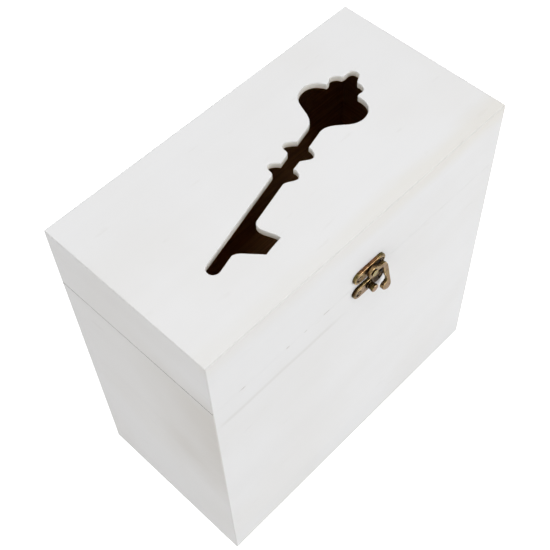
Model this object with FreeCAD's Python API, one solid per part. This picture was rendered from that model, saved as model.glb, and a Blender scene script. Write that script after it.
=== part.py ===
"""Wooden money box with a hinged lid, a key-shaped coin slot and a swing latch.

Frame: millimetres, +Z up, +X along the long side, +Y towards the back.
The origin is the centre of the underside.
"""
import FreeCAD, Part
import math
import os

Vector = FreeCAD.Vector
UP = Vector(0, 0, 1)
ALONG = Vector(1, 0, 0)
TO_FRONT = Vector(0, -1, 0)
TO_BACK = Vector(0, 1, 0)

# Box
LENGTH = 240.0
DEPTH = 125.0
HEIGHT = 248.0
LID_HEIGHT = 48.0
BOARD = 4.0
ARRIS = 0.9
LONG_SEAM_GAP = 0.12
END_SEAM_GAP = 0.5
BASE_THICKNESS = 4.0
BASE_REBATE = 2.0
SEAM_Z = HEIGHT - LID_HEIGHT
FRONT_Y = -DEPTH / 2
BACK_Y = DEPTH / 2

# How far cutting shapes run past the wood they cut, and the slack in comparing lengths
OVERCUT = 1.0
TINY = 1e-6

# Coin slot: a key drawn along its own axis, tip of the shaft first
KEY_TIP_X = -79.2
KEY_TIP_Y = -22.9
KEY_ANGLE = 14.7
SHAFT_HALF = 4.1
SHAFT_END = 70.0
NECK_START = 101.0
NECK_HALF = 3.8
NECK_END = 112.0
BOW_NOTCH = (148.2, 10.4)
CROWN_NOTCH = (158.0, 5.4)
KEY_LENGTH = 166.0
SLOT_ROUNDING = 0.4
PLAIN_COLLAR_ONE = [(72.3, 4.1), (74.4, 5.3), (75.7, 8.2), (77.9, 9.8), (81.2, 7.4), (82.5, 4.2)]
PLAIN_COLLAR_TWO = [
    (89.9, 4.2), (91.9, 5.6), (93.1, 8.6), (95.2, 9.9), (99.0, 7.3), (NECK_START, NECK_HALF),
]
BIT_COLLAR_ONE = [(SHAFT_END, SHAFT_HALF), (74.0, 6.9), (77.8, 9.6), (81.2, 7.4), (82.2, 4.0)]
BIT_COLLAR_TWO = [(89.0, 4.2), (91.5, 7.0), (95.0, 9.7), (98.9, 7.2), (100.4, NECK_HALF)]
BOW_CURVE = [(119.2, 6.0), (124.0, 11.8), (129.5, 18.8), (137.5, 21.5), (144.3, 18.9), (147.6, 13.6)]
CROWN_CURVE = [(150.6, 10.0), (153.7, 11.0), (157.0, 8.8)]
FINIAL_CURVE = [(160.4, 4.1), (163.6, 3.4)]
BIT_START = 15.5
BIT_END = 41.4
BIT_NEAR_CURVE = [(18.4, 6.4), (20.9, 11.2), (23.2, 15.9)]
BIT_NEAR_CORNER = (24.9, 19.7)
BIT_EDGE_MIDDLE = (31.2, 20.1)
BIT_FAR_CORNER = (37.9, 20.9)
BIT_FAR_CURVE = [(38.3, 17.6), (37.7, 11.6), (38.5, 6.0)]

# Butt hinges on the back
HINGE_X = 75.0
HINGE_LENGTH = 24.0
LEAF_THICKNESS = 0.8
LEAF_REACH = 9.0
LEAF_CORNER = 1.6
BARREL_RADIUS = 1.6
BARREL_STANDOFF = 1.7
BARREL_CLEARANCE = 0.3
KNUCKLE_HALF = 4.0
KNUCKLE_GAP = 0.15
HINGE_PIN_RADIUS = 0.9
HINGE_PIN_CLEARANCE = 0.05
HINGE_PIN_OVERHANG = 0.5
HINGE_PIN_HEAD_RADIUS = 1.3
HINGE_SCREW_X = 7.5
HINGE_SCREW_Z = 5.6
HINGE_AXIS_Y = BACK_Y + BARREL_STANDOFF

# Small wood screws
SCREW_SHANK_RADIUS = 0.75
SCREW_DEPTH_IN_WOOD = 3.4
SCREW_POINT = 1.0
SCREW_TIP_RADIUS = 0.2
SCREW_HEAD_RADIUS = 1.5
SCREW_HEAD_HEIGHT = 0.6
SCREW_SLOT_WIDTH = 0.6
SCREW_HEAD_BEVEL = 0.2
SCREW_SLOT_DEPTH = 0.3
SCREW_SLOT_ANGLE = 45.0

# Swing latch on the front; "out" is the distance in front of the wood
LATCH_X = 2.0
PIVOT_Z = 207.6
STUD_Z = 193.2
PLATE_LENGTH = 26.2
PLATE_HEIGHT = 9.4
PLATE_THICKNESS = 2.1
PLATE_BEVEL = 0.8
PLATE_SCREW_X = 9.2
LATCH_SCREW_HEAD_RADIUS = 1.6
LATCH_SCREW_SINK = 0.8
LATCH_SCREW_HEAD_HEIGHT = 0.6
COUNTERSINK_RADIUS = 2.15
HOOK_BOSS_RADIUS = 4.15
HOOK_BACK = 2.75
HOOK_FRONT = 5.0
HOOK_ROUNDING = 0.55
RIVET_RADIUS = 1.5
RIVET_CLEARANCE = 0.06
RIVET_HEAD_RADIUS = 2.3
RIVET_HEAD_BACK = 5.1
RIVET_HEAD_FRONT = 5.9
STUD_SHANK_RADIUS = 1.4
STUD_FOOT_RADIUS = 3.0
STUD_FOOT_TOP = 2.8
STUD_NECK_RADIUS = 2.4
STUD_HEAD_RADIUS = 2.7
STUD_HEAD_BACK = 5.1
STUD_FRONT = 6.7
STUD_HEAD_ROUNDING = 0.5

# Front and back of the hook's arm seen from the side, as (out, height above the pivot)
HOOK_FRONT_PROFILE = [
    (HOOK_FRONT, 6.0), (HOOK_FRONT, 0.0), (5.1, -5.0), (5.7, -13.0), (6.6, -20.5), (6.8, -28.0),
]
HOOK_BACK_PROFILE = [
    (HOOK_BACK, 6.0), (HOOK_BACK, 0.0), (3.0, -5.0), (3.9, -12.0), (4.2, -19.0), (4.2, -28.0),
]
HOOK_DEEPEST = 8.0
HOOK_LEFT = -10.0
HOOK_RIGHT = 20.0

# Outline of the hook's arm around its pivot, starting inside the boss and going over the shoulder
HOOK_ARM = [
    (0.5, 2.4), (3.6, 2.0), (6.4, 0.9), (9.1, 0.4), (11.3, -2.0), (12.6, -5.6), (13.3, -10.5),
    (13.8, -16.5), (14.3, -21.5), (14.1, -24.8), (12.2, -26.5), (9.3, -25.7), (7.2, -23.1),
    (7.4, -20.6), (9.2, -19.4), (10.8, -18.7), (11.1, -16.6), (10.3, -13.6), (9.4, -10.2),
    (9.1, -6.6), (8.2, -3.6), (6.2, -2.3), (3.4, -2.1), (0.5, -1.8), (-0.6, 0.4),
]


def flat_points(points, y=0.0):
    """Points given as (x, z) placed in the plane at y."""
    return [Vector(x, y, z) for x, z in points]


def polygon_face(points):
    return Part.Face(Part.makePolygon(points + [points[0]]))


def curve(points):
    """A smooth edge through the points."""
    spline = Part.BSplineCurve()
    spline.interpolate(points)
    return spline.toShape()


def cylinder(radius, start, end):
    direction = end - start
    return Part.makeCylinder(radius, direction.Length, start, direction)


def edges_where(shape, test):
    return [edge for edge in shape.Edges if test(edge)]


def lies_at(edge, axis, value):
    """True when the whole edge has the given coordinate along the axis."""
    low = getattr(edge.BoundBox, axis + "Min")
    high = getattr(edge.BoundBox, axis + "Max")
    return abs(low - value) < TINY and abs(high - value) < TINY


# ---------------------------------------------------------------- wooden box

def is_outer_upright(edge):
    at_end = lies_at(edge, "X", LENGTH / 2) or lies_at(edge, "X", -LENGTH / 2)
    at_side = lies_at(edge, "Y", FRONT_Y) or lies_at(edge, "Y", BACK_Y)
    return at_end and at_side


def open_case(z_low, z_high, closed_z):
    """Walls and one closed end, with rounded outer arrises at the closed end and the uprights."""
    case = Part.makeBox(LENGTH, DEPTH, z_high - z_low, Vector(-LENGTH / 2, FRONT_Y, z_low))
    rounded = edges_where(case, lambda edge: is_outer_upright(edge) or lies_at(edge, "Z", closed_z))
    return case.makeFillet(ARRIS, rounded)


def case_cavity(z_low, z_high):
    size = Vector(LENGTH - 2 * BOARD, DEPTH - 2 * BOARD, z_high - z_low)
    return Part.makeBox(size.x, size.y, size.z, Vector(-size.x / 2, -size.y / 2, z_low))


def mitre_region(corners_at):
    """The space that belongs to one board, cut on the 45 degree planes of its mitres."""
    outer = Part.makePolygon(corners_at(-OVERCUT) + [corners_at(-OVERCUT)[0]])
    inner_depth = BOARD + OVERCUT
    inner = Part.makePolygon(corners_at(inner_depth) + [corners_at(inner_depth)[0]])
    return Part.makeLoft([outer, inner], True, True)


def long_wall(side_y, z_low, z_high, mitred_top):
    """Corners of the front (negative side_y) or back board at a depth below its outer face."""
    def corners_at(depth):
        x = LENGTH / 2 - depth
        y = math.copysign(DEPTH / 2 - depth, side_y)
        top = z_high - depth if mitred_top else z_high + OVERCUT
        bottom = z_low - OVERCUT
        return [Vector(-x, y, bottom), Vector(x, y, bottom), Vector(x, y, top), Vector(-x, y, top)]
    return corners_at


def end_wall(side_x, z_low, z_high, mitred_top):
    """Corners of the left (negative side_x) or right board at a depth below its outer face."""
    def corners_at(depth):
        x = math.copysign(LENGTH / 2 - depth, side_x)
        y = DEPTH / 2 - depth
        top = z_high - depth if mitred_top else z_high + OVERCUT
        bottom = z_low - OVERCUT
        return [Vector(x, -y, bottom), Vector(x, y, bottom), Vector(x, y, top), Vector(x, -y, top)]
    return corners_at


def top_wall(depth):
    x = LENGTH / 2 - depth
    y = DEPTH / 2 - depth
    z = HEIGHT - depth
    return [Vector(-x, -y, z), Vector(x, -y, z), Vector(x, y, z), Vector(-x, y, z)]


def trim_end_rims(boards, names):
    """Plane a little off the rims of the end boards, so that the seam opens wider at the ends."""
    trimming = Part.makeBox(
        LENGTH + 2 * OVERCUT, DEPTH + 2 * OVERCUT, END_SEAM_GAP,
        Vector(-LENGTH / 2 - OVERCUT, FRONT_Y - OVERCUT, SEAM_Z - END_SEAM_GAP / 2))
    for name in names:
        boards[name] = boards[name].cut(trimming)


def make_body_boards():
    rim_z = SEAM_Z - LONG_SEAM_GAP / 2
    base_size = Vector(LENGTH - 2 * BASE_REBATE, DEPTH - 2 * BASE_REBATE, BASE_THICKNESS)
    base = Part.makeBox(
        base_size.x, base_size.y, base_size.z, Vector(-base_size.x / 2, -base_size.y / 2, 0))
    walls = open_case(0, rim_z, 0).cut(case_cavity(-OVERCUT, rim_z + OVERCUT)).cut(base)
    regions = {
        "front_panel": long_wall(-1, 0, rim_z, False),
        "back_panel": long_wall(1, 0, rim_z, False),
        "left_panel": end_wall(-1, 0, rim_z, False),
        "right_panel": end_wall(1, 0, rim_z, False),
    }
    boards = {name: walls.common(mitre_region(corners)) for name, corners in regions.items()}
    trim_end_rims(boards, ["left_panel", "right_panel"])
    boards["bottom_panel"] = base
    return boards


def ease_slot_edge(panel):
    """Round the upper edge of the coin slot a little, as sanding and paint leave it."""
    def is_slot_rim(edge):
        return lies_at(edge, "Z", HEIGHT) and edge.BoundBox.XMax < LENGTH / 2 - 2 * BOARD \
            and edge.BoundBox.XMin > -LENGTH / 2 + 2 * BOARD
    return panel.makeFillet(SLOT_ROUNDING, edges_where(panel, is_slot_rim))


def make_lid_boards():
    rim_z = SEAM_Z + LONG_SEAM_GAP / 2
    shell = open_case(rim_z, HEIGHT, HEIGHT).cut(case_cavity(rim_z - OVERCUT, HEIGHT - BOARD))
    regions = {
        "lid_front_strip": long_wall(-1, rim_z, HEIGHT, True),
        "lid_back_strip": long_wall(1, rim_z, HEIGHT, True),
        "lid_left_strip": end_wall(-1, rim_z, HEIGHT, True),
        "lid_right_strip": end_wall(1, rim_z, HEIGHT, True),
        "lid_top_panel": top_wall,
    }
    boards = {name: shell.common(mitre_region(corners)) for name, corners in regions.items()}
    trim_end_rims(boards, ["lid_left_strip", "lid_right_strip"])
    boards["lid_top_panel"] = ease_slot_edge(boards["lid_top_panel"].cut(make_key_cutter()))
    return boards


# ----------------------------------------------------------------- coin slot

def key_points(points, side):
    """Outline points on one side of the key's axis: +1 is the plain side, -1 the side of the bit."""
    return [Vector(u, side * v, 0) for u, v in points]


def key_head_edges(side):
    """Collars, neck, bow and crown along one side, ending at the tip of the crown."""
    first = PLAIN_COLLAR_ONE if side > 0 else BIT_COLLAR_ONE
    second = PLAIN_COLLAR_TWO if side > 0 else BIT_COLLAR_TWO
    return [
        curve(key_points(first, side)),
        Part.makeLine(*key_points([first[-1], second[0]], side)),
        curve(key_points(second, side)),
        Part.makeLine(*key_points([second[-1], (NECK_END, NECK_HALF)], side)),
        curve(key_points([(NECK_END, NECK_HALF)] + BOW_CURVE + [BOW_NOTCH], side)),
        curve(key_points([BOW_NOTCH] + CROWN_CURVE + [CROWN_NOTCH], side)),
        curve(key_points([CROWN_NOTCH] + FINIAL_CURVE + [(KEY_LENGTH, 0.0)], side)),
    ]


def key_bit_edges():
    """The bit that hangs off one side of the shaft near its tip."""
    side = -1
    near = [(BIT_START, SHAFT_HALF)] + BIT_NEAR_CURVE + [BIT_NEAR_CORNER]
    far = [BIT_FAR_CORNER] + BIT_FAR_CURVE + [(BIT_END, SHAFT_HALF)]
    return [
        Part.makeLine(*key_points([(SHAFT_HALF, SHAFT_HALF), near[0]], side)),
        curve(key_points(near, side)),
        curve(key_points([BIT_NEAR_CORNER, BIT_EDGE_MIDDLE, BIT_FAR_CORNER], side)),
        curve(key_points(far, side)),
        Part.makeLine(*key_points([far[-1], (SHAFT_END, SHAFT_HALF)], side)),
    ]


def make_key_cutter():
    tip = Part.Arc(*key_points([(SHAFT_HALF, SHAFT_HALF), (0, 0), (SHAFT_HALF, -SHAFT_HALF)], 1)).toShape()
    plain_side = Part.makeLine(*key_points([(SHAFT_HALF, SHAFT_HALF), PLAIN_COLLAR_ONE[0]], 1))
    edges = [tip, plain_side] + key_head_edges(1) + key_head_edges(-1) + key_bit_edges()
    outline = Part.Wire(Part.__sortEdges__(edges))
    cutter = Part.Face(outline).extrude(UP * (BOARD + 2 * OVERCUT))
    cutter.rotate(Vector(0, 0, 0), UP, KEY_ANGLE)
    cutter.translate(Vector(KEY_TIP_X, KEY_TIP_Y, HEIGHT - BOARD - OVERCUT))
    return cutter


# -------------------------------------------------------------------- screws

def screw_shank(head_centre, inward, under_head):
    """Shank and point of a screw, starting under its head.

    inward points into the wood and under_head is the metal that the shank passes first.
    """
    shank_end = head_centre + inward * (under_head + SCREW_DEPTH_IN_WOOD - SCREW_POINT)
    shank = cylinder(SCREW_SHANK_RADIUS, head_centre, shank_end)
    point = Part.makeCone(SCREW_SHANK_RADIUS, SCREW_TIP_RADIUS, SCREW_POINT, shank_end, inward)
    return shank.fuse(point)


def make_screw(head_centre, inward, head_radius, head_height, under_head):
    """Slotted screw: head_centre is the middle of its head's underside."""
    top_centre = head_centre - inward * head_height
    head = cylinder(head_radius, head_centre, top_centre)
    rim = edges_where(head, lambda edge: lies_at(edge, "Y", top_centre.y))
    head = head.makeChamfer(SCREW_HEAD_BEVEL, rim)
    slot = Part.makeBox(
        SCREW_SLOT_WIDTH, 2 * SCREW_SLOT_DEPTH, 4 * head_radius,
        Vector(-SCREW_SLOT_WIDTH / 2, -SCREW_SLOT_DEPTH, -2 * head_radius))
    slot.rotate(Vector(0, 0, 0), TO_BACK, SCREW_SLOT_ANGLE)
    slot.translate(top_centre)
    shank = screw_shank(head_centre, inward, under_head)
    return shank.fuse(head).cut(slot).removeSplitter()


# -------------------------------------------------------------------- hinges

def hinge_screw_seats(centre_x, side):
    """Head positions of one leaf's screws: side is -1 for the body leaf and +1 for the lid leaf."""
    y = BACK_Y + LEAF_THICKNESS
    z = SEAM_Z + side * HINGE_SCREW_Z
    return [Vector(centre_x + x, y, z) for x in (-HINGE_SCREW_X, HINGE_SCREW_X)]


def knuckle_spans(side):
    """Stretches along the barrel, from the hinge's middle, that a leaf's knuckles fill."""
    if side > 0:
        return [(-KNUCKLE_HALF + KNUCKLE_GAP, KNUCKLE_HALF - KNUCKLE_GAP)]
    return [(-HINGE_LENGTH / 2, -KNUCKLE_HALF), (KNUCKLE_HALF, HINGE_LENGTH / 2)]


def make_leaf(centre_x, side):
    barrel_reach = BARREL_RADIUS + BARREL_CLEARANCE
    axis = Vector(centre_x, HINGE_AXIS_Y, SEAM_Z)
    low_z, high_z = sorted((side * barrel_reach, side * LEAF_REACH))
    leaf = Part.makeBox(
        HINGE_LENGTH, LEAF_THICKNESS, high_z - low_z,
        Vector(centre_x - HINGE_LENGTH / 2, BACK_Y, SEAM_Z + low_z))
    far_z = SEAM_Z + side * LEAF_REACH
    corners = edges_where(
        leaf, lambda edge: lies_at(edge, "Z", far_z) and abs(edge.Length - LEAF_THICKNESS) < TINY)
    leaf = leaf.makeFillet(LEAF_CORNER, corners)
    bore_radius = HINGE_PIN_RADIUS + (HINGE_PIN_CLEARANCE if side > 0 else 0)
    for start_x, end_x in knuckle_spans(side):
        barrel = cylinder(BARREL_RADIUS, axis + ALONG * start_x, axis + ALONG * end_x)
        web_low, web_high = sorted((0, side * barrel_reach))
        web = Part.makeBox(
            end_x - start_x, LEAF_THICKNESS, web_high - web_low,
            Vector(centre_x + start_x, BACK_Y, SEAM_Z + web_low))
        bore = cylinder(bore_radius, axis + ALONG * (start_x - OVERCUT), axis + ALONG * (end_x + OVERCUT))
        leaf = leaf.fuse([web, barrel]).cut(bore)
    for seat in hinge_screw_seats(centre_x, side):
        leaf = leaf.cut(cylinder(SCREW_SHANK_RADIUS, seat, Vector(seat.x, BACK_Y, seat.z)))
    return leaf.removeSplitter()


def make_hinge_pin(centre_x):
    axis = Vector(centre_x, HINGE_AXIS_Y, SEAM_Z)
    half = HINGE_LENGTH / 2
    pin = cylinder(HINGE_PIN_RADIUS, axis - ALONG * half, axis + ALONG * half)
    for direction in (ALONG, -ALONG):
        start = axis + direction * half
        head = Part.makeCone(
            HINGE_PIN_HEAD_RADIUS, HINGE_PIN_RADIUS, HINGE_PIN_OVERHANG, start, direction)
        pin = pin.fuse(head)
    return pin.removeSplitter()


def make_hinges():
    nodes = {}
    for name, centre_x in (("left", -HINGE_X), ("right", HINGE_X)):
        nodes[name + "_hinge_body_leaf"] = make_leaf(centre_x, -1)
        nodes[name + "_hinge_lid_leaf"] = make_leaf(centre_x, 1)
        nodes[name + "_hinge_pin"] = make_hinge_pin(centre_x)
    for name, side in (("hinge_body_screws", -1), ("hinge_lid_screws", 1)):
        seats = hinge_screw_seats(-HINGE_X, side) + hinge_screw_seats(HINGE_X, side)
        nodes[name] = Part.makeCompound([
            make_screw(seat, TO_FRONT, SCREW_HEAD_RADIUS, SCREW_HEAD_HEIGHT, LEAF_THICKNESS)
            for seat in seats])
    return nodes


# --------------------------------------------------------------------- latch

def out_from_front(x, out, z):
    """A point at a distance in front of the box, x and z measured in the box's frame."""
    return Vector(x, FRONT_Y - out, z)


def plate_screw_seats(centre_z):
    """Underside of each screw head, sunk a little into the plate."""
    out = PLATE_THICKNESS - LATCH_SCREW_SINK
    return [out_from_front(LATCH_X + x, out, centre_z) for x in (-PLATE_SCREW_X, PLATE_SCREW_X)]


def make_latch_plate(centre_z, centre_hole_radius):
    end_radius = PLATE_HEIGHT / 2
    end_x = PLATE_LENGTH / 2 - end_radius
    middle = Part.makeBox(
        2 * end_x, PLATE_THICKNESS, PLATE_HEIGHT,
        out_from_front(LATCH_X - end_x, PLATE_THICKNESS, centre_z - end_radius))
    ends = [
        cylinder(end_radius, out_from_front(LATCH_X + x, 0, centre_z),
                 out_from_front(LATCH_X + x, PLATE_THICKNESS, centre_z))
        for x in (-end_x, end_x)]
    plate = middle.fuse(ends).removeSplitter()
    front_edges = edges_where(plate, lambda edge: lies_at(edge, "Y", FRONT_Y - PLATE_THICKNESS))
    plate = plate.makeFillet(PLATE_BEVEL, front_edges)
    plate = plate.cut(cylinder(
        centre_hole_radius, out_from_front(LATCH_X, 0, centre_z),
        out_from_front(LATCH_X, PLATE_THICKNESS + OVERCUT, centre_z)))
    for seat in plate_screw_seats(centre_z):
        countersink = Part.makeCone(
            LATCH_SCREW_HEAD_RADIUS, COUNTERSINK_RADIUS, LATCH_SCREW_SINK, seat, TO_FRONT)
        shank = cylinder(SCREW_SHANK_RADIUS, Vector(seat.x, FRONT_Y, seat.z), seat)
        plate = plate.cut([countersink, shank])
    return plate


def closed_curve(points):
    """A smooth closed outline through the points."""
    spline = Part.BSplineCurve()
    spline.interpolate(points, PeriodicFlag=True)
    return Part.Wire(spline.toShape())


def hook_side_view():
    """Band that the arm fills seen from the side: it leans outward towards its tail."""
    def placed(points):
        return [out_from_front(LATCH_X + HOOK_LEFT, out, PIVOT_Z + z) for out, z in points]

    front = placed(HOOK_FRONT_PROFILE)
    back = placed(HOOK_BACK_PROFILE)
    edges = [
        curve(front), Part.makeLine(front[-1], back[-1]),
        curve(back), Part.makeLine(back[0], front[0]),
    ]
    outline = Part.Wire(Part.__sortEdges__(edges))
    return Part.Face(outline).extrude(ALONG * (HOOK_RIGHT - HOOK_LEFT))


def front_rim(arm):
    """The closed edge round the front face of the arm."""
    middle = FRONT_Y - (HOOK_BACK + HOOK_FRONT) / 2
    return edges_where(arm, lambda edge: edge.BoundBox.YMax < middle and edge.isClosed())


def make_hook():
    """Cast hook with a flat back and a rounded front, shown swung clear of its stud."""
    blank = Part.Face(closed_curve(flat_points(HOOK_ARM))).extrude(TO_FRONT * HOOK_DEEPEST)
    blank.translate(out_from_front(LATCH_X, 0, PIVOT_Z))
    arm = blank.common(hook_side_view()).Solids[0]
    arm = arm.makeFillet(HOOK_ROUNDING, front_rim(arm))
    boss = cylinder(
        HOOK_BOSS_RADIUS, out_from_front(LATCH_X, HOOK_BACK, PIVOT_Z),
        out_from_front(LATCH_X, HOOK_FRONT, PIVOT_Z))
    boss = boss.makeFillet(HOOK_ROUNDING, edges_where(boss, lambda edge: edge.BoundBox.YLength < TINY))
    bore = cylinder(
        RIVET_RADIUS + RIVET_CLEARANCE, out_from_front(LATCH_X, 0, PIVOT_Z),
        out_from_front(LATCH_X, HOOK_DEEPEST, PIVOT_Z))
    return arm.fuse(boss).cut(bore).removeSplitter()


def headed_pin(centre_z, steps):
    """A turned pin: steps are (radius, start, end), each a distance in front of the wood."""
    pieces = [
        cylinder(radius, out_from_front(LATCH_X, start, centre_z), out_from_front(LATCH_X, end, centre_z))
        for radius, start, end in steps]
    return pieces[0].fuse(pieces[1:]).removeSplitter()


def make_pivot_rivet():
    rivet = headed_pin(PIVOT_Z, [
        (RIVET_RADIUS, 0, RIVET_HEAD_BACK), (RIVET_HEAD_RADIUS, RIVET_HEAD_BACK, RIVET_HEAD_FRONT)])
    rim = edges_where(rivet, lambda edge: lies_at(edge, "Y", FRONT_Y - RIVET_HEAD_FRONT))
    return rivet.makeFillet((RIVET_HEAD_FRONT - RIVET_HEAD_BACK) / 2, rim)


def make_stud():
    stud = headed_pin(STUD_Z, [
        (STUD_SHANK_RADIUS, 0, PLATE_THICKNESS), (STUD_FOOT_RADIUS, PLATE_THICKNESS, STUD_FOOT_TOP),
        (STUD_NECK_RADIUS, STUD_FOOT_TOP, STUD_HEAD_BACK), (STUD_HEAD_RADIUS, STUD_HEAD_BACK, STUD_FRONT)])
    rim = edges_where(stud, lambda edge: lies_at(edge, "Y", FRONT_Y - STUD_FRONT))
    return stud.makeFillet(STUD_HEAD_ROUNDING, rim)


def make_latch_screws(centre_z):
    under_head = PLATE_THICKNESS - LATCH_SCREW_SINK
    return Part.makeCompound([
        make_screw(seat, TO_BACK, LATCH_SCREW_HEAD_RADIUS, LATCH_SCREW_HEAD_HEIGHT, under_head)
        for seat in plate_screw_seats(centre_z)])


def make_latch():
    return {
        "latch_upper_plate": make_latch_plate(PIVOT_Z, RIVET_RADIUS),
        "latch_lower_plate": make_latch_plate(STUD_Z, STUD_SHANK_RADIUS),
        "latch_hook": make_hook(),
        "latch_pivot_rivet": make_pivot_rivet(),
        "latch_stud": make_stud(),
        "latch_upper_screws": make_latch_screws(PIVOT_Z),
        "latch_lower_screws": make_latch_screws(STUD_Z),
    }


# ------------------------------------------------------------------ assembly

def drill_boards(boards):
    """Give each screwed board the holes that its screws fill."""
    front_under = PLATE_THICKNESS - LATCH_SCREW_SINK
    holes = {
        "front_panel": [screw_shank(seat, TO_BACK, front_under) for seat in plate_screw_seats(STUD_Z)],
        "lid_front_strip": [screw_shank(seat, TO_BACK, front_under) for seat in plate_screw_seats(PIVOT_Z)],
    }
    for name, side in (("back_panel", -1), ("lid_back_strip", 1)):
        seats = hinge_screw_seats(-HINGE_X, side) + hinge_screw_seats(HINGE_X, side)
        holes[name] = [screw_shank(seat, TO_FRONT, LEAF_THICKNESS) for seat in seats]
    for name, cutters in holes.items():
        boards[name] = boards[name].cut(cutters)


def build():
    nodes = make_body_boards()
    nodes.update(make_lid_boards())
    drill_boards(nodes)
    nodes.update(make_hinges())
    nodes.update(make_latch())
    return nodes


os.makedirs("parts", exist_ok=True)
for node_name, shape in build().items():
    shape.exportStep("parts/" + node_name + ".step")
    print(node_name, len(shape.Solids), shape.isValid(), round(shape.Volume, 2))
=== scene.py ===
"""Looks of the wooden money box: whitewashed plywood, and a latch and hinges in antique bronze."""

import math

import bpy
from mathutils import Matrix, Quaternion, Vector


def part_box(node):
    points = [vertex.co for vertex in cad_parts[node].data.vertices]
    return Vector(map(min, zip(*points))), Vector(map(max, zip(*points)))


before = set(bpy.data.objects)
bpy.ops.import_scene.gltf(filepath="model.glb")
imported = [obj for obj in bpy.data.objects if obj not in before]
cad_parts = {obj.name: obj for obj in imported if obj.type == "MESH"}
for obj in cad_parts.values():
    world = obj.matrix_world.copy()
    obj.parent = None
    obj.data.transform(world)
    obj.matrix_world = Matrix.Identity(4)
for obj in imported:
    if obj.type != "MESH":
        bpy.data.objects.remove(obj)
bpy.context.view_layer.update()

MM = 0.001

# The box
HALF_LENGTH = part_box("right_panel")[1].x
HALF_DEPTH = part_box("back_panel")[1].y
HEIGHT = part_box("lid_top_panel")[1].z
SEAM = (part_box("front_panel")[1].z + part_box("lid_front_strip")[0].z) / 2
BOARD = 4 * MM
PLIES = 3

# Stretch of the grain: drawn out along the length of a board
ALONG_X = (0.06, 1.0, 1.0)
ALONG_Y = (1.0, 0.06, 1.0)

# White wash, what shows through it or wears it away, and painted shade on the end boards and the
# rounded arris
NEUTRAL_WASH = (0.787, 0.787, 0.790)
# Painted shade: the end boards get a slightly darker, warmer copy of the wash
WARM_SHADED_WASH = (0.778, 0.772, 0.768)
FIGURE_SHADE = 0.975
MOTTLE_TINT = (0.98, 0.975, 0.965)
PORE_BROWN = (0.50, 0.47, 0.43)
THIN_WASH = (0.72, 0.68, 0.58)
ARRIS_PAINTED_SHADE = (0.56, 0.55, 0.54)
STREAK_GREY = (0.64, 0.63, 0.61)
DARKER_END_WASH = (0.66, 0.635, 0.60)
CHIP_BROWN = (0.40, 0.36, 0.32)

# Cut edges of the boards: washed in the coin slot, bare at the corners, and painted near black at
# the open seam as painted shade of the gap
# The slot wall's wash is painted lighter than the outer wash: painted light
SLOT_WASH_AND_PAINTED_LIGHT = (1.0, 0.97, 0.90)
SLOT_WALL_DEEP = (0.88, 0.79, 0.68)
PLY_LIGHT = (0.36, 0.25, 0.15)
PLY_DARK = (0.22, 0.14, 0.08)
# Painted shade: near-black rims of the open seam, for the shadow inside the gap
SEAM_PAINTED_SHADE = (0.035, 0.03, 0.027)
SEAM_PAINTED_SHADE_FADED = (0.30, 0.28, 0.25)

# Bare wood inside the box
RAW_LIGHT = (0.61, 0.355, 0.165)
RAW_DARK = (0.55, 0.305, 0.13)
RAW_FIBRE = (0.42, 0.22, 0.09)

# The soft streak of figure on the front
STREAK_Z = HEIGHT - 64.5 * MM
STREAK_END = -10 * MM
STREAK_WANDER = 5 * MM
STREAK_HALF_WIDTH = 3.2 * MM

# Bronze: patina in the corners, with painted shade on undersides and under the hook, the brass it
# rubs through to, with painted highlights on its rims, and grime in the crevices, with painted
# shade near neighbouring parts
OLIVE_PATINA = (0.19, 0.15, 0.055)
# Deep patina, also used to paint shade on undersides and under the hook
DEEP_PATINA_AND_SHADE = (0.055, 0.026, 0.009)
PINK_BRASS = (0.31, 0.20, 0.11)
DULL_BRASS = (0.12, 0.073, 0.028)
# Bright brass of rubbed edges, also used for painted highlights
BRIGHT_BRASS_AND_HIGHLIGHT = (0.86, 0.60, 0.29)
# Grime, also used for painted shade in crevices and near neighbouring parts
GRIME_AND_SHADE = (0.020, 0.010, 0.005)
# Near-black side walls of the stud and rivet: dark patina with painted shade
RIVET_SIDES_AND_SHADE = (0.022, 0.012, 0.006)
# Screws: the grime setting also paints shade in their slots
SCREW_LOOK = {
    "sides": (0.10, 0.06, 0.03),
    "face": (0.46, 0.31, 0.20),
    "grime_and_shade": 1.0,
    "grime_and_shade_reach": 0.8 * MM,
}

# Bronzed steel of the hinge pins
STEEL_LIGHT = (0.30, 0.20, 0.11)
STEEL_DARK = (0.13, 0.08, 0.05)

# The latch
LATCH_MIDDLE = (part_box("latch_upper_plate")[0].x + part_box("latch_upper_plate")[1].x) / 2
STUD_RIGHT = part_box("latch_stud")[1].x
RIM_WIDTH = 1.7 * MM

# Surroundings: half the floor's side, its two pale greys, and the light that floor and backdrop
# throw on the box
FLOOR_HALF = 3.0
FLOOR_GREY = (0.48, 0.48, 0.48)
FLOOR_SPECK = (0.52, 0.52, 0.52)
FLOOR_GLOW = 0.46
BACKDROP_GLOW = 0.10

# Lamps: name, place, diameter and power in watts
LAMPS = (
    ("key", (0.45, -1.5, 0.65), 1.0, 12.9),
    ("overhead", (-0.15, -0.05, 1.9), 1.2, 22.4),
    ("behind", (1.1, 1.2, 0.8), 1.0, 6.0),
    ("fill", (-1.5, -0.2, 0.45), 1.0, 6.5),
)

# Camera: where it aims, where it stands, its turn about its own line of sight, and its lens
AIM = Vector((0.0, -5.1 * MM, HEIGHT / 2))
CAMERA_DISTANCE = 0.6652
CAMERA_AZIMUTH = math.radians(-44.86)
CAMERA_ELEVATION = math.radians(56.43)
CAMERA_ROLL = math.radians(-1.776)
CAMERA_LENS = 66.56
CAMERA_SHIFT = (-0.0352, 0.0343)
CAMERA_CLIP_START = 0.01


# --------------------------------------------------------------- node writing

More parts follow.
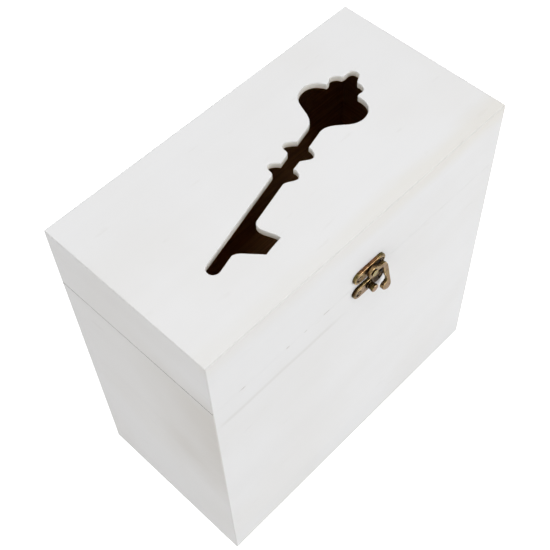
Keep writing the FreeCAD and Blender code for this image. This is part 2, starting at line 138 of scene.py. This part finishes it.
class Shader:
    """A short way to write a material's node tree: most calls add nodes and return their output."""

    def __init__(self, name):
        self.material = bpy.data.materials.new(name)
        self.material.use_nodes = True
        self.tree = self.material.node_tree
        self.tree.nodes.clear()
        self.output = self.tree.nodes.new("ShaderNodeOutputMaterial")

    def node(self, kind, settings=None, **inputs):
        made = self.tree.nodes.new(kind)
        for key, value in (settings or {}).items():
            setattr(made, key, value)
        for key, value in inputs.items():
            self.feed(made.inputs[key.replace("_", " ")], value)
        return made

    def feed(self, socket, value):
        if isinstance(value, bpy.types.NodeSocket):
            self.tree.links.new(value, socket)
        elif socket.type == "RGBA" and len(value) == 3:
            socket.default_value = (*value, 1.0)
        else:
            socket.default_value = value

    # Arithmetic on single values

    def math(self, operation, *values):
        made = self.node("ShaderNodeMath", {"operation": operation})
        for socket, value in zip(made.inputs, values):
            self.feed(socket, value)
        return made.outputs[0]

    def plus(self, first, second):
        return self.math("ADD", first, second)

    def minus(self, first, second):
        return self.math("SUBTRACT", first, second)

    def times(self, first, *others):
        product = first
        for other in others:
            product = self.math("MULTIPLY", product, other)
        return product

    def size(self, value):
        return self.math("ABSOLUTE", value)

    def apart(self, first, second):
        return self.size(self.minus(first, second))

    def least(self, first, second):
        return self.math("MINIMUM", first, second)

    def greatest(self, first, second):
        return self.math("MAXIMUM", first, second)

    def ramp(self, value, low, high, start=0.0, end=1.0):
        """Smooth step of value between low and high, from start to end."""
        made = self.node("ShaderNodeMapRange", {"interpolation_type": "SMOOTHSTEP"}, Value=value,
                         From_Min=low, From_Max=high, To_Min=start, To_Max=end)
        return made.outputs[0]

    # Places and directions

    def place(self):
        """Position in the box's own frame, so that grain travels with a moving board."""
        return self.node("ShaderNodeTexCoord").outputs["Object"]

    def axes(self, vector):
        made = self.node("ShaderNodeSeparateXYZ", Vector=vector)
        return made.outputs[0], made.outputs[1], made.outputs[2]

    def vector(self, x, y, z):
        return self.node("ShaderNodeCombineXYZ", X=x, Y=y, Z=z).outputs[0]

    def vector_math(self, operation, first, second):
        made = self.node("ShaderNodeVectorMath", {"operation": operation})
        self.feed(made.inputs[0], first)
        self.feed(made.inputs[1], second)
        return made

    def scaled(self, vector, scale):
        return self.vector_math("MULTIPLY", vector, scale).outputs["Vector"]

    def moved(self, vector, offset):
        return self.vector_math("ADD", vector, offset).outputs["Vector"]

    def distance(self, first, second):
        return self.vector_math("DISTANCE", first, second).outputs["Value"]

    def alignment(self, first, second):
        return self.vector_math("DOT_PRODUCT", first, second).outputs["Value"]

    def world_normal(self):
        return self.node("ShaderNodeNewGeometry").outputs["Normal"]

    def own_normal(self):
        """The surface normal along each axis of the box, which turns with a moving piece."""
        turned = self.node("ShaderNodeVectorTransform", {
            "vector_type": "NORMAL", "convert_from": "WORLD", "convert_to": "OBJECT",
        }, Vector=self.world_normal())
        return self.axes(turned.outputs[0])

    def own_slopes(self):
        return [self.size(part) for part in self.own_normal()]

    # Textures, colours and the surface

    def noise(self, vector, scale, detail=3.0, roughness=0.5, distortion=0.0):
        made = self.node("ShaderNodeTexNoise", Vector=vector, Scale=scale, Detail=detail,
                         Roughness=roughness, Distortion=distortion)
        return made.outputs["Fac"]

    def mix(self, factor, first, second, blend="MIX"):
        made = self.node("ShaderNodeMix", {"data_type": "RGBA", "blend_type": blend})
        self.feed(made.inputs[0], factor)
        self.feed(made.inputs[6], first)
        self.feed(made.inputs[7], second)
        return made.outputs[2]

    def bump(self, height, distance, strength, normal=None):
        made = self.node("ShaderNodeBump", Height=height, Distance=distance, Strength=strength)
        if normal is not None:
            self.feed(made.inputs["Normal"], normal)
        return made.outputs[0]

    def finish(self, **inputs):
        surface = self.node("ShaderNodeBsdfPrincipled", **inputs)
        self.tree.links.new(surface.outputs[0], self.output.inputs["Surface"])
        return self.material


# ------------------------------------------------------------------- the wood

def depth_below_surface(shader, place):
    """Distance inward from the nearest upright face, or from the top, of the closed box."""
    x, y, z = shader.axes(place)
    from_ends = shader.minus(HALF_LENGTH, shader.size(x))
    from_sides = shader.minus(HALF_DEPTH, shader.size(y))
    from_top = shader.minus(HEIGHT, z)
    return shader.least(shader.least(from_ends, from_sides), from_top)


def wood_grain(shader, place, stretch):
    """Long figure, fine fibres and short dark pores, drawn out along the board's grain."""
    along = shader.scaled(place, stretch)
    figure = shader.noise(along, scale=45.0, detail=4.0, distortion=0.5)
    fibre = shader.noise(along, scale=520.0, roughness=0.6)
    elsewhere = shader.moved(place, (0.31, 0.74, 0.12))
    half_as_long = shader.scaled(elsewhere, [math.sqrt(part) for part in stretch])
    pores = shader.noise(half_as_long, scale=260.0, detail=1.0, roughness=0.4)
    return figure, fibre, shader.ramp(pores, 0.70, 0.80)


def thin_wash_at_front_arris(shader, place):
    """How far the wash has rubbed thin beside the lid's top front arris, more so to the right."""
    x, y, z = shader.axes(place)
    from_arris = shader.plus(shader.plus(y, HALF_DEPTH), shader.minus(HEIGHT, z))
    patchy = shader.noise(shader.scaled(place, (0.35, 1.0, 1.0)), scale=55.0)
    ragged = shader.plus(from_arris, shader.times(patchy, -16 * MM))
    band = shader.ramp(ragged, 8 * MM, -5 * MM)
    rightward = shader.ramp(x, -HALF_LENGTH, HALF_LENGTH, start=0.35)
    return shader.times(band, rightward)


def painted_shade_on_arris(shader, with_uprights):
    """Painted shade: one on the rounding between two faces, nothing on the faces themselves, so
    that the rounding does not light up brighter than the faces.
    """
    x, y, z = shader.own_slopes()
    bend = shader.times(z, shader.plus(x, y))
    if with_uprights:
        bend = shader.plus(bend, shader.times(x, y))
    return shader.ramp(bend, 0.12, 0.42)


def soft_streak(shader, place):
    """One soft dark streak of figure across the left half of the front, below the seam."""
    x, y, z = shader.axes(place)
    wander = shader.noise(shader.scaled(place, (0.2, 0.0, 0.0)), scale=60.0, detail=2.0)
    offset = shader.apart(shader.plus(z, shader.times(wander, STREAK_WANDER)), STREAK_Z)
    across = shader.ramp(offset, STREAK_HALF_WIDTH, 0.0)
    on_front = shader.ramp(y, -HALF_DEPTH + 1 * MM, -HALF_DEPTH)
    right_end = shader.ramp(x, STREAK_END, STREAK_END - 25 * MM)
    left_end = shader.ramp(x, -HALF_LENGTH, -HALF_LENGTH + 10 * MM)
    return shader.times(across, on_front, right_end, left_end)


def darker_patch_on_ends(shader, place):
    """The end boards are a little darker beside the front edge, from the seam downward."""
    x, y, z = shader.axes(place)
    blotch = shader.noise(shader.moved(place, (0.4, 0.1, 0.6)), scale=16.0, detail=2.0)
    wander = shader.times(shader.minus(blotch, 0.5), 70 * MM)
    from_front = shader.plus(shader.plus(y, HALF_DEPTH), wander)
    below_seam = shader.plus(shader.minus(SEAM, z), wander)
    beside_front = shader.ramp(from_front, 75 * MM, 5 * MM)
    on_end = shader.ramp(shader.size(x), HALF_LENGTH - 1 * MM, HALF_LENGTH)
    upper = shader.ramp(below_seam, -25 * MM, 12 * MM)
    lower = shader.ramp(below_seam, 150 * MM, 50 * MM)
    return shader.times(beside_front, on_end, upper, lower)


def rims_of_seam(shader, place):
    """One on the edges of the boards that meet at the seam."""
    from_seam = shader.apart(shader.axes(place)[2], SEAM)
    return shader.times(shader.own_slopes()[2], shader.ramp(from_seam, 0.6 * MM, 0.4 * MM))


def seam_chips(shader, place):
    """Short dark chips where the seam is nearly closed, left of the latch."""
    x, y, z = shader.axes(place)
    along = shader.noise(shader.scaled(place, (1.0, 0.0, 0.0)), scale=75.0, detail=2.0)
    beside_seam = shader.ramp(shader.apart(z, SEAM), 0.55 * MM, 0.25 * MM)
    leftward = shader.ramp(x, -10 * MM, -40 * MM)
    return shader.times(beside_seam, shader.ramp(along, 0.54, 0.62), leftward)


def wash_colour(shader, place, tone, figure, pores, mottle, arris_shade):
    """The white wash, with the wood that shows through it, the places where it has worn, and
    painted shade on the rounded arris.
    """
    shade = tuple(part * FIGURE_SHADE for part in tone)
    wash = shader.mix(shader.ramp(figure, 0.35, 0.7, end=0.5), tone, shade)
    wash = shader.mix(shader.ramp(mottle, 0.40, 0.65), wash, MOTTLE_TINT, "MULTIPLY")
    for share, where, colour in (
            (0.07, pores, PORE_BROWN),
            (0.35, thin_wash_at_front_arris(shader, place), THIN_WASH),
            # painted shade on the rounded arris
            (0.5, arris_shade, ARRIS_PAINTED_SHADE),
            (0.45, soft_streak(shader, place), STREAK_GREY),
            (0.85, darker_patch_on_ends(shader, place), DARKER_END_WASH)):
        wash = shader.mix(shader.times(where, share), wash, colour)
    return wash


def washed_edge(shader, depth, mottle):
    """A cut edge under the wash, as in the coin slot: near the top painted lighter than the outer
    wash, as painted light, and browner toward the inside.
    """
    deep = shader.ramp(shader.plus(depth, shader.times(mottle, 2 * MM)), 2 * MM, 6 * MM)
    return shader.mix(deep, SLOT_WASH_AND_PAINTED_LIGHT, SLOT_WALL_DEEP)


def ply_edge(shader, depth):
    """A bare cut edge, which shows the layers of the plywood."""
    layer = shader.math("SINE", shader.times(depth, math.pi * PLIES / BOARD))
    return shader.mix(shader.ramp(layer, -0.3, 0.3), PLY_LIGHT, PLY_DARK)


def with_seam_painted_shade(shader, place, depth, cut_edge, rims):
    """A cut edge painted near black along the outside of the open seam, painted shade for the
    shadow in the gap, fading toward the back.
    """
    outermost = shader.ramp(depth, 0.9 * MM, 0.6 * MM)
    toward_back = shader.ramp(shader.axes(place)[1], -HALF_DEPTH, HALF_DEPTH)
    seam_shade = shader.mix(toward_back, SEAM_PAINTED_SHADE, SEAM_PAINTED_SHADE_FADED)
    return shader.mix(shader.times(rims, outermost), cut_edge, seam_shade)


def raw_wood(shader, figure, fibre):
    """The bare wood inside the box."""
    raw = shader.mix(shader.ramp(figure, 0.35, 0.65), RAW_LIGHT, RAW_DARK)
    return shader.mix(shader.ramp(fibre, 0.35, 0.7, end=0.6), raw, RAW_FIBRE)


def whitewashed_wood(name, stretch, tone, edge_is_washed=False, seam_is_open=False):
    """White wash outside, raw wood inside, and cut edges between them.

    edge_is_washed covers the cut edges too. seam_is_open is for the boards whose seam gapes enough
    to show a dark line.
    """
    shader = Shader(name)
    place = shader.place()
    depth = depth_below_surface(shader, place)
    figure, fibre, pores = wood_grain(shader, place, stretch)
    mottle = shader.noise(shader.moved(place, (0.2, 0.5, 0.9)), scale=11.0, roughness=0.45)
    # Painted shade on the rounded arris
    arris_shade = painted_shade_on_arris(shader, with_uprights=not edge_is_washed)

    wash = wash_colour(shader, place, tone, figure, pores, mottle, arris_shade)
    cut_edge = washed_edge(shader, depth, mottle) if edge_is_washed else ply_edge(shader, depth)
    ragged = shader.plus(depth, shader.times(fibre, 0.15 * MM))
    bare = shader.ramp(ragged, 0.30 * MM, 0.45 * MM)
    if seam_is_open:
        # Painted shade along the open seam's rims
        rims = rims_of_seam(shader, place)
        bare = shader.greatest(bare, rims)
        cut_edge = with_seam_painted_shade(shader, place, depth, cut_edge, rims)
    else:
        wash = shader.mix(shader.times(seam_chips(shader, place), 0.6), wash, CHIP_BROWN)
    inside = shader.ramp(depth, BOARD - 0.2 * MM, BOARD - 0.02 * MM)
    colour = shader.mix(bare, wash, cut_edge)
    colour = shader.mix(inside, colour, raw_wood(shader, figure, fibre))

    height = shader.plus(shader.times(fibre, 0.5), shader.times(pores, -0.6))
    return shader.finish(
        Base_Color=colour,
        Roughness=shader.ramp(fibre, 0.2, 0.8, start=0.62, end=0.78),
        Normal=shader.bump(height, distance=0.05 * MM, strength=0.5),
        Specular_IOR_Level=shader.ramp(inside, 0.0, 1.0, start=0.15, end=0.0))


# ------------------------------------------------------------------ the metal

def olive_part(shader, place, broad, coppery_part):
    """Where the patina turns olive: in patches, or at both ends of the piece."""
    if coppery_part is None:
        return shader.ramp(broad, 0.40, 0.60)
    middle, half_length = coppery_part
    from_middle = shader.apart(shader.axes(place)[0], middle)
    return shader.ramp(from_middle, half_length - 2 * MM, half_length + 2 * MM)


def patina_colour(shader, sides, blotch, olive):
    """The plating left on the side walls, blotchy, and painted darkest on the undersides as painted
    shade.
    """
    patina = shader.mix(olive, sides, OLIVE_PATINA)
    patina = shader.mix(shader.ramp(blotch, 0.40, 0.65, end=0.8), patina, DEEP_PATINA_AND_SHADE)
    # Painted shade on the undersides
    painted_shade_underneath = shader.ramp(shader.own_normal()[2], -0.15, -0.55)
    return shader.mix(shader.times(painted_shade_underneath, 0.9), patina, DEEP_PATINA_AND_SHADE)


def brass_colour(shader, face, blotch, broad):
    """The brass that shows on the outward faces."""
    brass = shader.mix(shader.ramp(broad, 0.40, 0.60), face, PINK_BRASS)
    return shader.mix(shader.ramp(blotch, 0.45, 0.70, end=0.6), brass, DULL_BRASS)


def rubbed_edges_and_highlight(shader, outward, softened_normal):
    """One where hands rub along sharp edges, and a painted highlight where an outward face rounds
    off.
    """
    edge = shader.ramp(shader.alignment(softened_normal, shader.world_normal()), 0.985, 0.86)
    painted_highlight_on_rounding = shader.times(shader.ramp(outward, 0.50, 0.68), shader.ramp(outward, 0.93, 0.82))
    return shader.greatest(edge, painted_highlight_on_rounding)


def rim_shade_and_highlight(shader, place, plate):
    """Upper rim of a latch plate: the band along its edge, painted shade for a rounded rim, and the
    ridge inside the band, a painted highlight.
    """
    low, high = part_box(plate)
    radius = (high.z - low.z) / 2
    middle_x = (low.x + high.x) / 2
    middle_z = low.z + radius
    half_straight = (high.x - low.x) / 2 - radius
    x, y, z = shader.axes(place)
    past_straight = shader.greatest(shader.minus(shader.apart(x, middle_x), half_straight), 0.0)
    across = shader.vector(past_straight, 0.0, z)
    inset = shader.minus(radius, shader.distance(across, (0.0, 0.0, middle_z)))
    upper = shader.ramp(z, middle_z - 1 * MM, middle_z + 1 * MM)
    band = shader.ramp(inset, RIM_WIDTH, RIM_WIDTH - 0.5 * MM)
    rim_painted_highlight = shader.ramp(shader.apart(inset, RIM_WIDTH), 0.45 * MM, 0.15 * MM)
    return shader.times(band, upper), shader.times(rim_painted_highlight, upper)


def painted_shadow_in_screw_seats(shader, place, screws):
    """Painted shadows: dark crescents in the two sunk holes of a latch plate, on the left of each
    screw head.
    """
    low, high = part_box(screws)
    radius = (high.z - low.z) / 2
    middle_z = low.z + radius
    flat = shader.scaled(place, (1.0, 0.0, 1.0))
    shadow_crescents = 0.0
    for seat_x in (low.x + radius, high.x - radius):
        from_seat = shader.distance(flat, (seat_x, 0.0, middle_z))
        from_clean_part = shader.distance(flat, (seat_x + 0.6 * MM, 0.0, middle_z - 0.4 * MM))
        in_hole = shader.ramp(from_seat, radius + 0.9 * MM, radius + 0.6 * MM)
        beside_head = shader.ramp(from_clean_part, radius - 0.2 * MM, radius)
        shadow_crescents = shader.plus(shadow_crescents, shader.times(in_hole, beside_head))
    return shadow_crescents


def antique_bronze(name, sides, face, grime_and_shade=0.95, grime_and_shade_reach=4.5 * MM, coppery_part=None,
                   painted_shadow_from=None, plate=None, screws=None):
    """Bronze plating: dark patina on the side walls, grime and painted shade in the corners and
    near neighbouring parts, rubbed to brass on the outward faces and brightest along the edges,
    from wear and painted highlights.

    coppery_part is the middle and half the length of the stretch where the patina is not olive.
    Beyond the x given for the hook's painted shadow, dark patina colour is painted over the plate
    as a painted shadow of the hook arm. plate names the latch plate whose rim gets a painted shade
    band and a painted highlight ridge. screws names the screws whose seats get painted shadow
    crescents.
    """
    shader = Shader(name)
    place = shader.place()
    softened_normal = shader.node("ShaderNodeBevel", {"samples": 4}, Radius=0.35 * MM).outputs[0]
    blotch = shader.noise(place, scale=420.0, detail=4.0, roughness=0.6)
    broad = shader.noise(place, scale=150.0, detail=2.0)
    outward = shader.own_slopes()[1]

    patina = patina_colour(shader, sides, blotch, olive_part(shader, place, broad, coppery_part))
    brass = brass_colour(shader, face, blotch, broad)
    bare = shader.ramp(outward, 0.45, 0.9)
    rubbed_and_highlight = rubbed_edges_and_highlight(shader, outward, softened_normal)
    # Painted shade along the plate's upper rim band, and a painted highlight on the ridge inside it
    if plate is not None:
        band, rim_painted_highlight = rim_shade_and_highlight(shader, place, plate)
        bare = shader.times(bare, shader.ramp(band, 0.0, 1.0, start=1.0, end=0.3))
        rubbed_and_highlight = shader.times(rubbed_and_highlight, shader.ramp(band, 0.0, 1.0, start=1.0, end=0.4))
        rubbed_and_highlight = shader.greatest(rubbed_and_highlight, rim_painted_highlight)
    colour = shader.mix(bare, patina, brass)
    # Painted shadow of the hook arm on the plate's right part, in dark patina colour
    if painted_shadow_from is not None:
        in_painted_shadow = shader.ramp(shader.axes(place)[0], painted_shadow_from, painted_shadow_from + 2 * MM)
        colour = shader.mix(shader.times(in_painted_shadow, 0.8), colour, DEEP_PATINA_AND_SHADE)
    # Bright brass where edges are rubbed, and painted highlights on rounded rims and the rim ridge
    worn_and_highlight = shader.times(rubbed_and_highlight, shader.ramp(blotch, 0.58, 0.42, start=0.25))
    colour = shader.mix(worn_and_highlight, colour, BRIGHT_BRASS_AND_HIGHLIGHT)

    # Grime in the crevices, and painted shade wherever neighbouring parts come near, out to the
    # given reach
    crevice_or_shade = shader.node("ShaderNodeAmbientOcclusion", {"samples": 8}, Distance=grime_and_shade_reach)
    in_crevice_or_shade = shader.ramp(crevice_or_shade.outputs["AO"], 0.92, 0.50)
    colour = shader.mix(shader.times(in_crevice_or_shade, grime_and_shade), colour, GRIME_AND_SHADE)
    # Painted shadows in the screw seats
    if screws is not None:
        shadow_crescents = painted_shadow_in_screw_seats(shader, place, screws)
        colour = shader.mix(shader.times(shadow_crescents, 0.95), colour, GRIME_AND_SHADE)
    return shader.finish(
        Base_Color=colour,
        Metallic=1.0,
        Roughness=shader.ramp(blotch, 0.3, 0.7, start=0.24, end=0.42),
        Normal=shader.bump(blotch, distance=0.05 * MM, strength=0.6, normal=softened_normal))


def bronzed_steel(name):
    """Steel pins with blotchy bronze plating."""
    shader = Shader(name)
    blotch = shader.noise(shader.place(), scale=600.0, roughness=0.6)
    return shader.finish(
        Base_Color=shader.mix(blotch, STEEL_LIGHT, STEEL_DARK),
        Metallic=1.0,
        Roughness=shader.ramp(blotch, 0.3, 0.7, start=0.25, end=0.45),
        Normal=shader.bump(blotch, distance=0.03 * MM, strength=0.4))


# ------------------------------------------------------- dressing the CAD nodes

def dress(names, material):
    for name in names:
        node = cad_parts[name]
        node.data.materials.clear()
        node.data.materials.append(material)


def dress_wood():
    dress(["front_panel", "back_panel", "lid_front_strip", "lid_back_strip", "bottom_panel"],
          whitewashed_wood("wood_long_grain", ALONG_X, NEUTRAL_WASH))
    # The end boards' slightly darker, warmer wash is painted shade
    dress(["left_panel", "right_panel", "lid_left_strip", "lid_right_strip"],
          whitewashed_wood("wood_end_boards", ALONG_Y, WARM_SHADED_WASH, seam_is_open=True))
    dress(["lid_top_panel"],
          whitewashed_wood("wood_lid_top", ALONG_X, NEUTRAL_WASH, edge_is_washed=True))


def dress_latch():
    dress(["latch_upper_plate"], antique_bronze(
        "bronze_coppery", sides=(0.32, 0.155, 0.07), face=(0.28, 0.19, 0.065), grime_and_shade=0.3,
        coppery_part=(LATCH_MIDDLE - 1 * MM, 7.5 * MM), plate="latch_upper_plate",
        screws="latch_upper_screws"))
    # The lower plate's dark side walls are painted shade, under the upper plate and hook
    dress(["latch_lower_plate"], antique_bronze(
        "bronze_dark", sides=(0.075, 0.042, 0.018), face=(0.21, 0.14, 0.065),
        painted_shadow_from=STUD_RIGHT - 1 * MM, plate="latch_lower_plate", screws="latch_lower_screws"))
    dress(["latch_pivot_rivet"], antique_bronze(
        "bronze_rivet", sides=RIVET_SIDES_AND_SHADE, face=(0.33, 0.28, 0.12)))
    dress(["latch_stud"], antique_bronze(
        "bronze_stud", sides=RIVET_SIDES_AND_SHADE, face=(0.32, 0.20, 0.12)))
    for screws in ("latch_upper_screws", "latch_lower_screws"):
        dress([screws], antique_bronze("bronze_" + screws, screws=screws, **SCREW_LOOK))


def dress_hook_and_hinges():
    leaves = [f"{side}_hinge_{part}_leaf" for side in ("left", "right") for part in ("body", "lid")]
    dress(["latch_hook"] + leaves, antique_bronze(
        "bronze_brown", sides=(0.30, 0.20, 0.10), face=(0.285, 0.195, 0.085), grime_and_shade=0.6))
    dress(["hinge_body_screws", "hinge_lid_screws"], antique_bronze("bronze_screws", **SCREW_LOOK))
    dress(["left_hinge_pin", "right_hinge_pin"], bronzed_steel("bronzed_steel"))


# ----------------------------------------------------------------- the studio

def pale_floor():
    """A sheet lit from below: it looks evenly white, and throws a little light up at the box."""
    shader = Shader("pale_floor")
    speck = shader.noise(shader.place(), scale=30.0, detail=4.0)
    seen = shader.node("ShaderNodeLightPath").outputs["Is Camera Ray"]
    return shader.finish(
        Base_Color=shader.mix(speck, FLOOR_GREY, FLOOR_SPECK),
        Roughness=0.9,
        Emission_Color=(1.0, 1.0, 1.0),
        Emission_Strength=shader.plus(shader.times(seen, 1.0 - FLOOR_GLOW), FLOOR_GLOW))


def make_floor():
    corners = [(x * FLOOR_HALF, y * FLOOR_HALF, 0) for x, y in ((-1, -1), (1, -1), (1, 1), (-1, 1))]
    mesh = bpy.data.meshes.new("floor")
    mesh.from_pydata(corners, [], [range(len(corners))])
    mesh.materials.append(pale_floor())
    floor = bpy.data.objects.new("floor", mesh)
    bpy.context.scene.collection.objects.link(floor)


def make_backdrop():
    """A seamless backdrop: it looks evenly white, and lights the box only a little."""
    world = bpy.data.worlds.new("studio")
    world.use_nodes = True
    background = world.node_tree.nodes["Background"]
    background.inputs["Color"].default_value = (1.0, 1.0, 1.0, 1.0)
    seen = world.node_tree.nodes.new("ShaderNodeLightPath").outputs["Is Camera Ray"]
    strength = world.node_tree.nodes.new("ShaderNodeMapRange")
    strength.inputs["To Min"].default_value = BACKDROP_GLOW
    world.node_tree.links.new(seen, strength.inputs["Value"])
    world.node_tree.links.new(strength.outputs["Result"], background.inputs["Strength"])
    bpy.context.scene.world = world


def make_lamp(name, place, diameter, power):
    light = bpy.data.lights.new(name, "AREA")
    light.shape = "DISK"
    light.size = diameter
    light.energy = power
    lamp = bpy.data.objects.new(name, light)
    lamp.location = place
    lamp.rotation_mode = "QUATERNION"
    lamp.rotation_quaternion = (AIM - Vector(place)).to_track_quat("-Z", "Y")
    bpy.context.scene.collection.objects.link(lamp)


def make_camera():
    camera = bpy.data.objects.new("camera", bpy.data.cameras.new("camera"))
    level = math.cos(CAMERA_ELEVATION)
    back = Vector((
        math.sin(CAMERA_AZIMUTH) * level,
        -math.cos(CAMERA_AZIMUTH) * level,
        math.sin(CAMERA_ELEVATION)))
    roll = Quaternion((0, 0, 1), CAMERA_ROLL)
    camera.location = AIM + back * CAMERA_DISTANCE
    camera.rotation_mode = "QUATERNION"
    camera.rotation_quaternion = (-back).to_track_quat("-Z", "Y") @ roll
    camera.data.lens = CAMERA_LENS
    camera.data.shift_x, camera.data.shift_y = CAMERA_SHIFT
    camera.data.clip_start = CAMERA_CLIP_START
    bpy.context.scene.collection.objects.link(camera)
    bpy.context.scene.camera = camera


dress_wood()
dress_latch()
dress_hook_and_hinges()
make_floor()
make_backdrop()
for name, place, diameter, power in LAMPS:
    make_lamp(name, place, diameter, power)
make_camera()
bpy.context.scene.view_settings.view_transform = "Standard"
